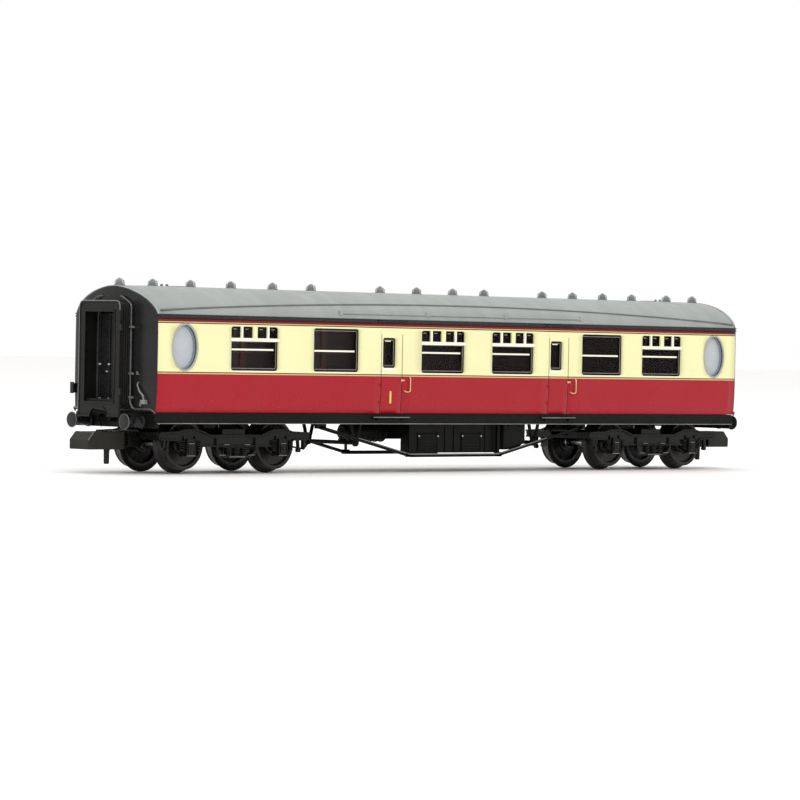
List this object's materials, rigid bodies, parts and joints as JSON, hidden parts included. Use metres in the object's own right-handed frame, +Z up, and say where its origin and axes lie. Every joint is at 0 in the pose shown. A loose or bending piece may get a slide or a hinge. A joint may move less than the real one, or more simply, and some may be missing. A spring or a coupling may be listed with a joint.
{
  "type": "model passenger coach",
  "caption": "Small-scale railway coach with bow ends, corridor gangways, compartment interior, trussed underframe, swivelling bogies, rolling wheelsets and lifting couplers.",
  "frame": {"origin": "midway between the ends and the sides, at the lowest point of the wheel flanges", "axes": "+X along the coach towards the rear end, +Y towards the compartment side, +Z up"},
  "size_m": [0.1356, 0.019, 0.0282],
  "materials": {
    "body_paint": "satin crimson below the waist and cream above, with fine lining",
    "roof_grey": "matt weathered grey",
    "underframe_black": "satin black moulded plastic",
    "end_black": "semi-gloss black paint",
    "bogie_black": "satin black moulded plastic",
    "coupler_grey": "matt dark grey moulded plastic",
    "interior_brown": "moulded brown with painted seats",
    "clear_glazing": "clear polished plastic",
    "frosted_glazing": "translucent grey obscured panes",
    "wheel_metal": "chemically blackened metal with polished treads",
    "plated_steel": "bright plated"
  },
  "bodies": {
    "coach_body": {"body_shell": "body_paint", "roof": "roof_grey", "chassis": "underframe_black", "ballast_weight": "plated_steel", "interior": "interior_brown", "dynamo": "underframe_black", "glazing_near": "clear_glazing", "truss_near": "underframe_black", "battery_box_near": "underframe_black", "regulator_box_near": "underframe_black", "step_board_near_1": "underframe_black", "step_board_near_2": "underframe_black", "glazing_far": "clear_glazing", "truss_far": "underframe_black", "battery_box_far": "underframe_black", "regulator_box_far": "underframe_black", "step_board_far_1": "underframe_black", "step_board_far_2": "underframe_black", "vacuum_cylinder_front": "underframe_black", "brake_rigging_front": "underframe_black", "gangway_bellows_front": "end_black", "gangway_faceplate_front": "end_black", "gangway_door_front": "end_black", "pivot_screw_front": "plated_steel", "oval_pane_front_near": "frosted_glazing", "buffer_front_near": "end_black", "oval_pane_front_far": "frosted_glazing", "buffer_front_far": "end_black", "vacuum_cylinder_rear": "underframe_black", "brake_rigging_rear": "underframe_black", "gangway_bellows_rear": "end_black", "gangway_faceplate_rear": "end_black", "gangway_door_rear": "end_black", "pivot_screw_rear": "plated_steel", "oval_pane_rear_near": "frosted_glazing", "buffer_rear_near": "end_black", "oval_pane_rear_far": "frosted_glazing", "buffer_rear_far": "end_black"},
    "front_bogie": {"bogie_frame_front": "bogie_black"},
    "front_outer_wheelset": {"axle_front_outer": "plated_steel", "wheel_front_outer_near": "wheel_metal", "wheel_front_outer_far": "wheel_metal"},
    "front_inner_wheelset": {"axle_front_inner": "plated_steel", "wheel_front_inner_near": "wheel_metal", "wheel_front_inner_far": "wheel_metal"},
    "front_coupler": {"coupler_front": "coupler_grey", "coupler_pin_front": "plated_steel", "coupler_spring_front": "plated_steel"},
    "rear_bogie": {"bogie_frame_rear": "bogie_black"},
    "rear_outer_wheelset": {"axle_rear_outer": "plated_steel", "wheel_rear_outer_near": "wheel_metal", "wheel_rear_outer_far": "wheel_metal"},
    "rear_inner_wheelset": {"axle_rear_inner": "plated_steel", "wheel_rear_inner_near": "wheel_metal", "wheel_rear_inner_far": "wheel_metal"},
    "rear_coupler": {"coupler_rear": "coupler_grey", "coupler_pin_rear": "plated_steel", "coupler_spring_rear": "plated_steel"}
  },
  "joints": [
    {"name": "front_bogie_swivel", "type": "hinge", "parent": "coach_body", "child": "front_bogie", "pos_m": [-0.04428, 0, 0.0075], "axis": [0, 0, 1], "range_deg": [-10, 10]},
    {"name": "front_outer_wheelset_spin", "type": "hinge", "parent": "front_bogie", "child": "front_outer_wheelset", "pos_m": [-0.05303, 0, 0.0042], "axis": [0, 1, 0], "continuous": true},
    {"name": "front_inner_wheelset_spin", "type": "hinge", "parent": "front_bogie", "child": "front_inner_wheelset", "pos_m": [-0.03553, 0, 0.0042], "axis": [0, 1, 0], "continuous": true},
    {"name": "front_coupler_lift", "type": "hinge", "parent": "front_bogie", "child": "front_coupler", "pos_m": [-0.062, 0, 0.0047], "axis": [0, 1, 0], "range_deg": [0, 5], "stiffness_Nm_per_rad": 0.00005},
    {"name": "rear_bogie_swivel", "type": "hinge", "parent": "coach_body", "child": "rear_bogie", "pos_m": [0.04428, 0, 0.0075], "axis": [0, 0, 1], "range_deg": [-10, 10]},
    {"name": "rear_outer_wheelset_spin", "type": "hinge", "parent": "rear_bogie", "child": "rear_outer_wheelset", "pos_m": [0.05303, 0, 0.0042], "axis": [0, 1, 0], "continuous": true},
    {"name": "rear_inner_wheelset_spin", "type": "hinge", "parent": "rear_bogie", "child": "rear_inner_wheelset", "pos_m": [0.03553, 0, 0.0042], "axis": [0, 1, 0], "continuous": true},
    {"name": "rear_coupler_lift", "type": "hinge", "parent": "rear_bogie", "child": "rear_coupler", "pos_m": [0.062, 0, 0.0047], "axis": [0, -1, 0], "range_deg": [0, 5], "stiffness_Nm_per_rad": 0.00005}
  ]
}
